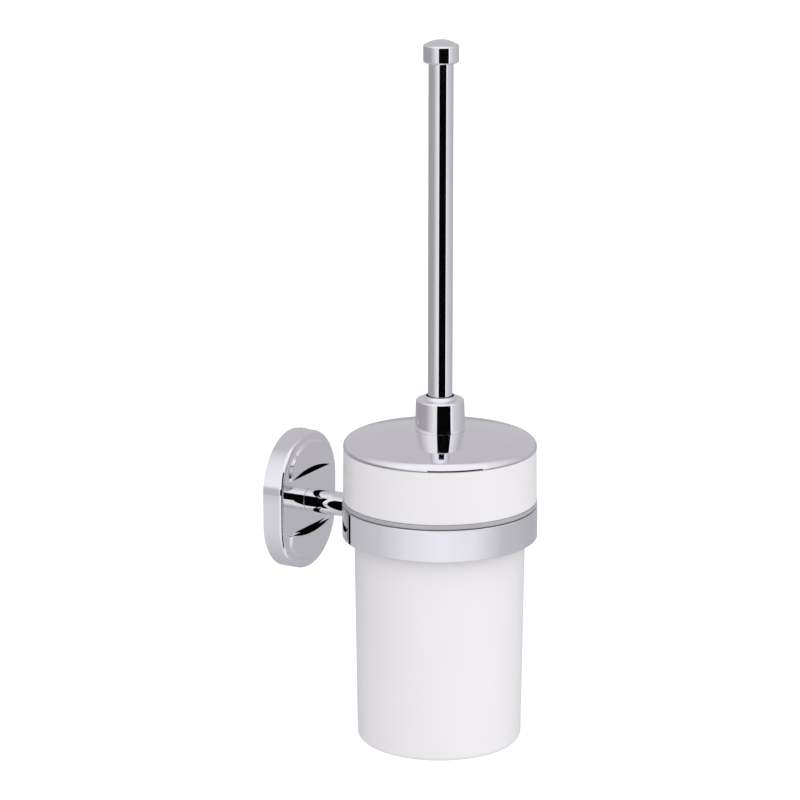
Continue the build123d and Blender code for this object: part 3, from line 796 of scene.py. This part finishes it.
class HOLDER_OT_bristles(bpy.types.Operator):
    """Tufts of nylon filaments in staggered rows round the core and under it"""

    bl_idname = "holder.bristles"
    bl_label = "Bristles"

    def tuft(self, thickness, strands_count, spread, chance):
        """A bundle of three-sided filaments of unit length along +X, splayed a little, with closed tips."""
        clear()
        bpy.ops.mesh.primitive_circle_add(
            vertices=3, radius=thickness / 2, fill_type="NGON", rotation=(0, pi / 2, 0)
        )
        bpy.ops.object.transform_apply(location=True, rotation=True, scale=True)
        bpy.ops.object.mode_set(mode="EDIT")
        bpy.ops.mesh.select_all(action="SELECT")
        bpy.ops.mesh.extrude_region_move(TRANSFORM_OT_translate={"value": (0.6, 0, 0)})
        bpy.ops.mesh.extrude_region_move(TRANSFORM_OT_translate={"value": (0.4, 0, 0)})
        bpy.ops.transform.resize(value=(1, 0.7, 0.7))
        bpy.ops.mesh.select_all(action="SELECT")
        bpy.ops.mesh.normals_make_consistent(inside=False)
        bpy.ops.object.mode_set(mode="OBJECT")
        first = bpy.context.object
        made = [first]
        golden = pi * (3 - sqrt(5))
        for number in range(1, strands_count):
            out = sqrt(number / strands_count)
            side = Vector((0, cos(number * golden), sin(number * golden)))
            copy = bpy.data.objects.new("filament", first.data.copy())
            bpy.context.scene.collection.objects.link(copy)
            splay = side * spread * out * chance.uniform(0.7, 1.2)
            lean = Vector((chance.uniform(0.955, 1.0), 0, 0)) + splay
            slant = Matrix.Identity(4)
            for row in range(3):
                slant[row][0] = lean[row]
            copy.data.transform(Matrix.Translation(side * out * 0.85 * MM) @ slant)
            made.append(copy)
        clear()
        for copy in made:
            copy.select_set(True)
        bpy.context.view_layer.objects.active = first
        bpy.ops.object.join()
        return bpy.context.object

    def outer_length(self, direction, root):
        """How far it is from a root to the brush's round-bottomed outline."""
        radius, bottom, top = reach("bristles"), low("bristles"), high("bristles")
        fillet = 24 * MM
        step = 0.25 * MM
        travel = 0.0
        while True:
            spot = root + direction * (travel + step)
            across = sqrt(spot.x**2 + (spot.y - AXIS_Y) ** 2)
            depth = bottom + fillet - spot.z
            beside = across - (radius - fillet)
            round_off = depth > 0 and beside > 0 and sqrt(depth**2 + beside**2) > fillet
            if across > radius or spot.z < bottom or spot.z > top or round_off:
                return travel
            travel += step

    def roots(self, sizes):
        """Where each tuft leaves the core, and which way it points."""
        core = reach("brush_head") + 0.1 * MM
        core_low = low("brush_head")
        first = high("bristles") - 4.0 * MM
        last = core_low + 7 * MM
        for row in range(sizes.tuft_rows):
            height = first + (last - first) * row / (sizes.tuft_rows - 1)
            for number in range(sizes.tufts):
                turn = 2 * pi * (number + row % 2 / 2) / sizes.tufts
                outward = Vector((cos(turn), sin(turn), 0.0))
                yield Vector((0, AXIS_Y, height)) + outward * core, outward
        for count, tilt in ((9, 35), (6, 62), (1, 90)):
            down = radians(tilt)
            for number in range(count):
                turn = 2 * pi * number / count + down
                outward = Vector((cos(turn) * cos(down), sin(turn) * cos(down), -sin(down)))
                start = Vector((outward.x * 10.5, outward.y * 10.5, outward.z * 7.2)) * MM
                yield Vector((0, AXIS_Y, last)) + start, outward

    def execute(self, context):
        sizes = context.scene.holder_sizes
        chance = random.Random(7)
        spread = 2.6 * MM
        kinds = [self.tuft(sizes.filament, sizes.strands, spread, chance) for _ in range(3)]
        made = []
        for root, outward in self.roots(sizes):
            side = outward.orthogonal().normalized()
            other = outward.cross(side)
            sides = (side, -side, other, -other)
            ways = [outward] + [(outward * 20 * MM + way * spread).normalized() for way in sides]
            size = min(self.outer_length(way, root) for way in ways) * chance.uniform(0.975, 0.995)
            copy = bpy.data.objects.new("tuft", chance.choice(kinds).data.copy())
            context.scene.collection.objects.link(copy)
            turn = Matrix.Rotation(chance.uniform(0, 2 * pi), 4, "X")
            place = Matrix.Translation(root) @ outward.to_track_quat("X", "Z").to_matrix().to_4x4()
            copy.data.transform(place @ turn @ Matrix.Diagonal((size, 1, 1, 1)))
            made.append(copy)
        for kind in kinds:
            bpy.data.objects.remove(kind)
        clear()
        for copy in made:
            copy.select_set(True)
        context.view_layer.objects.active = made[0]
        bpy.ops.object.join()
        piece = context.object
        coat = finish("filaments")
        complete(piece, "bristle_tufts", "brush", ["bristles"], coat, even=False)
        return {"FINISHED"}


class HOLDER_OT_hardware(bpy.types.Operator):
    """Finishes of the bracket, screws, washers, studs, bush, nut and stop ring"""

    bl_idname = "holder.hardware"
    bl_label = "Hardware finishes"

    def execute(self, context):
        kinds = {
            "zinc_plated": ["wall_bracket"],
            "steel_turned": ["rosette_screw", "arm_screw", "arm_washer", "ring_screw", "cap_stud"],
            "brass_turned": ["lid_nut", "rod_plug", "head_stud"],
            "nylon_natural": ["collar_bush", "stop_ring"],
            "rubber_black": ["lid_washer", "head_washer"],
        }
        for kind, nodes in kinds.items():
            for node in nodes:
                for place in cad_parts[node].material_slots:
                    place.material = finish(kind)
        return {"FINISHED"}


# ---- stage ------------------------------------------------------------------------------------
CAMERA_TILT = radians(75.7)            # from straight down
CAMERA_TURN = radians(-61.5)
CAMERA_DISTANCE = 1.70
CAMERA_LENS = 153.0                    # mm
FLOOR_DROP = 0.5                       # floor below the cup, metres
# Brightness of the surround: (degrees to the right of the camera's side, brightness), in three bands.
BAND_LOW = [
    (-180, 0.5), (-121, 0.58), (-76, 0.66), (-40, 0.86), (0, 0.97), (40, 0.9), (77, 0.61), (137, 0.5), (180, 0.5),
]
BAND_MIDDLE = [
    (-180, 0.45), (-120, 0.39), (-70, 0.42), (-48, 0.68), (-32, 0.88), (43, 1.15), (53, 1.15),
    (60, 0.78), (85, 0.66), (120, 0.55), (180, 0.45),
]
BAND_HIGH = [(-180, 0.6), (-110, 0.6), (-50, 1.05), (50, 1.05), (110, 0.6), (180, 0.6)]
COOL = (0.965, 0.97, 1.035)             # tints of the bands
NEUTRAL = (0.965, 0.95, 1.0)
BAND_EDGES = ((-15.9, -15.2), (-4.0, 4.0))  # degrees above the horizon where one band turns into the next
# Dark cards: two curved ones about the cup's axis, in metres, and a small flat one beside the rosette.
CARD_DISTANCE = 3.0
CARD_BOTTOM = -0.775
CARD_JOIN = -0.10                      # where the lower card ends and the upper one starts
CARD_TOP = 2.6
CARD_START = radians(-15)              # to the left of the camera's side
CARD_SWEEP = radians(65)
SIDE_GAP = 0.9 * MM                    # from the rosette's side to the small card
SIDE_NEAR, SIDE_FAR = 1.3 * MM, 20 * MM  # in front of the rosette's face
SIDE_BOTTOM, SIDE_TOP = -32 * MM, 24 * MM


class HOLDER_OT_stage(bpy.types.Operator):
    """Camera, pale floor, soft light, a plain surround and dark cards for the chrome"""

    bl_idname = "holder.stage"
    bl_label = "Stage"

    def camera(self, context):
        centre = (CAD_BOX[0] + CAD_BOX[1]) / 2
        aim = centre + Vector((-0.0478, -0.0218, 0.0088))
        facing = Euler((CAMERA_TILT, 0, CAMERA_TURN))
        backward = facing.to_matrix() @ Vector((0, 0, 1))
        data = bpy.data.cameras.new("view")
        data.lens = CAMERA_LENS
        camera = bpy.data.objects.new("view", data)
        context.scene.collection.objects.link(camera)
        camera.rotation_euler = facing
        camera.location = aim + backward * CAMERA_DISTANCE
        context.scene.camera = camera
        return Vector((backward.x, backward.y, 0)).normalized()

    def floor(self, context):
        clear()
        bpy.ops.mesh.primitive_plane_add(size=14, location=(0, AXIS_Y, CAD_BOX[0].z - FLOOR_DROP))
        floor = context.object
        floor.name = "floor"
        material, tree, shader = graph("floor_paper")
        whites = ((0.92, 0.92, 0.92), (0.93, 0.93, 0.93))
        shades(tree, noise(tree, 2.0), whites, shader.inputs["Base Color"])
        shader.inputs["Roughness"].default_value = 0.9
        shader.inputs["Specular IOR Level"].default_value = 0.1
        floor.data.materials.append(material)
        floor.visible_glossy = False

    def card(self, name, start, bottom, top, second_only=False):
        """A dark curved card about the cup's axis, seen only in reflections, or only in their reflections."""
        card = drawn([(CARD_DISTANCE, AXIS_Y, bottom), (CARD_DISTANCE, AXIS_Y, top)])
        bpy.ops.mesh.select_all(action="SELECT")
        bpy.ops.mesh.spin(steps=24, angle=-CARD_SWEEP, center=(0, AXIS_Y, 0), axis=(0, 0, 1))
        bpy.ops.object.mode_set(mode="OBJECT")
        turn = Matrix.Translation((0, AXIS_Y, 0)) @ Matrix.Rotation(start, 4, "Z")
        card.data.transform(turn @ Matrix.Translation((0, -AXIS_Y, 0)))
        self.dark(card, name, second_only)

    def side_card(self):
        """A dark card beside the rosette, which the arm mirrors."""
        side = box("rosette")[0].x - SIDE_GAP
        far, front = FACE_Y - SIDE_NEAR, FACE_Y - SIDE_FAR
        corners = [(far, SIDE_BOTTOM), (front, SIDE_BOTTOM), (front, SIDE_TOP), (far, SIDE_TOP)]
        card = drawn([(side, y, z) for y, z in corners + corners[:1]])
        bpy.ops.mesh.edge_face_add()
        bpy.ops.object.mode_set(mode="OBJECT")
        self.dark(card, "dark_card_beside")

    def dark(self, card, name, second_only=False):
        """Dead black, and seen only in reflections."""
        card.name = name
        material, tree, shader = graph(name)
        blacks = ((0.001, 0.001, 0.001), (0.003, 0.003, 0.003))
        shades(tree, noise(tree, 8.0), blacks, shader.inputs["Base Color"])
        shader.inputs["Roughness"].default_value = 1.0
        shader.inputs["Specular IOR Level"].default_value = 0.0
        if second_only:
            bounce = tree.nodes.new("ShaderNodeLightPath")
            later = tree.nodes.new("ShaderNodeMath")
            later.operation = "GREATER_THAN"
            later.inputs[1].default_value = 1.5
            clear_shader = tree.nodes.new("ShaderNodeBsdfTransparent")
            mix = tree.nodes.new("ShaderNodeMixShader")
            tree.links.new(bounce.outputs["Ray Depth"], later.inputs[0])
            tree.links.new(later.outputs["Value"], mix.inputs["Fac"])
            tree.links.new(clear_shader.outputs["BSDF"], mix.inputs[1])
            tree.links.new(shader.outputs["BSDF"], mix.inputs[2])
            tree.links.new(mix.outputs["Shader"], tree.nodes["Material Output"].inputs["Surface"])
        card.data.materials.append(material)
        card.visible_camera = False
        card.visible_diffuse = False
        card.visible_shadow = False

    def light(self, context):
        """A very wide soft light from above, which the chrome doesn't mirror."""
        data = bpy.data.lights.new("soft_light", "SUN")
        data.energy = 1.9
        data.angle = radians(110)
        light = bpy.data.objects.new("soft_light", data)
        context.scene.collection.objects.link(light)
        light.rotation_euler = Euler((radians(30), 0, radians(-20)))
        light.visible_glossy = False

    def band(self, tree, turn, stops, tint):
        """Brightness round the horizon: (degrees to the right of the camera's side, brightness)."""
        ramp = tree.nodes.new("ShaderNodeValToRGB")
        elements = ramp.color_ramp.elements
        while len(elements) < len(stops):
            elements.new(0.5)
        for element, (degree, level) in zip(elements, stops):
            element.position = (degree + 180) / 360
            element.color = (*[part * level for part in tint], 1)
        tree.links.new(turn, ramp.inputs["Fac"])
        return ramp.outputs["Color"]

    def surround(self, context, toward):
        """What the chrome mirrors: three bands of pale grey, brighter round the camera's side."""
        world = bpy.data.worlds.new("surround")
        context.scene.world = world
        world.use_nodes = True
        tree = world.node_tree
        nodes, links = tree.nodes, tree.links
        place = nodes.new("ShaderNodeTexCoord")
        parts = []
        rightward = Vector((-toward.y, toward.x, 0))
        for way in (rightward, toward, Vector((0, 0, 1))):
            part = nodes.new("ShaderNodeVectorMath")
            part.operation = "DOT_PRODUCT"
            part.inputs[1].default_value = way
            links.new(place.outputs["Generated"], part.inputs[0])
            parts.append(part.outputs["Value"])
        angle = nodes.new("ShaderNodeMath")
        angle.operation = "ARCTAN2"
        links.new(parts[0], angle.inputs[0])
        links.new(parts[1], angle.inputs[1])
        turn = nodes.new("ShaderNodeMapRange")
        turn.inputs["From Min"].default_value = -pi
        turn.inputs["From Max"].default_value = pi
        links.new(angle.outputs["Value"], turn.inputs["Value"])
        bands = ((BAND_LOW, COOL), (BAND_MIDDLE, NEUTRAL), (BAND_HIGH, NEUTRAL))
        colours = [self.band(tree, turn.outputs["Result"], stops, tint) for stops, tint in bands]
        blended = colours[0]
        for colour_above, (start, end) in zip(colours[1:], BAND_EDGES):
            blend = nodes.new("ShaderNodeMapRange")
            blend.interpolation_type = "SMOOTHSTEP"
            blend.inputs["From Min"].default_value = sin(radians(start))
            blend.inputs["From Max"].default_value = sin(radians(end))
            links.new(parts[2], blend.inputs["Value"])
            mix = nodes.new("ShaderNodeMix")
            mix.data_type = "RGBA"
            links.new(blend.outputs["Result"], mix.inputs["Factor"])
            links.new(blended, mix.inputs["A"])
            links.new(colour_above, mix.inputs["B"])
            blended = mix.outputs["Result"]
        links.new(blended, nodes["Background"].inputs["Color"])

    def execute(self, context):
        toward = self.camera(context)
        self.floor(context)
        self.light(context)
        start = atan2(toward.y, toward.x) + CARD_START
        self.card("dark_card", start, CARD_BOTTOM, CARD_JOIN)
        self.card("dark_card_above", start, CARD_JOIN, CARD_TOP, second_only=True)
        self.side_card()
        self.surround(context, toward)
        context.scene.view_settings.view_transform = "Standard"
        return {"FINISHED"}


class HOLDER_PT_pieces(bpy.types.Panel):
    """Lists the holder's pieces, sizes and finishes"""

    bl_label = "Brush Holder"
    bl_idname = "HOLDER_PT_pieces"
    bl_space_type = "VIEW_3D"
    bl_region_type = "UI"
    bl_category = "Brush Holder"

    def draw(self, context):
        for operator in OPERATORS:
            self.layout.operator(operator.bl_idname)
        for group in (context.scene.holder_sizes, context.scene.holder_finishes):
            for name in group.__annotations__:
                self.layout.prop(group, name)


OPERATORS = (
    HOLDER_OT_stage, HOLDER_OT_rosette, HOLDER_OT_arm, HOLDER_OT_ring, HOLDER_OT_liner, HOLDER_OT_cup,
    HOLDER_OT_lid, HOLDER_OT_lid_seat, HOLDER_OT_collar, HOLDER_OT_handle, HOLDER_OT_cap,
    HOLDER_OT_core, HOLDER_OT_bristles, HOLDER_OT_hardware,
)
CLASSES = (HolderSizes, HolderFinishes, *OPERATORS, HOLDER_PT_pieces)


def register():
    for item in CLASSES:
        bpy.utils.register_class(item)
    bpy.types.Scene.holder_sizes = PointerProperty(type=HolderSizes)
    bpy.types.Scene.holder_finishes = PointerProperty(type=HolderFinishes)


def unregister():
    del bpy.types.Scene.holder_finishes
    del bpy.types.Scene.holder_sizes
    for item in reversed(CLASSES):
        bpy.utils.unregister_class(item)


def main():
    register()
    for operator in OPERATORS:
        family, name = operator.bl_idname.split(".")
        getattr(getattr(bpy.ops, family), name)()


if __name__ == "__main__":
    main()
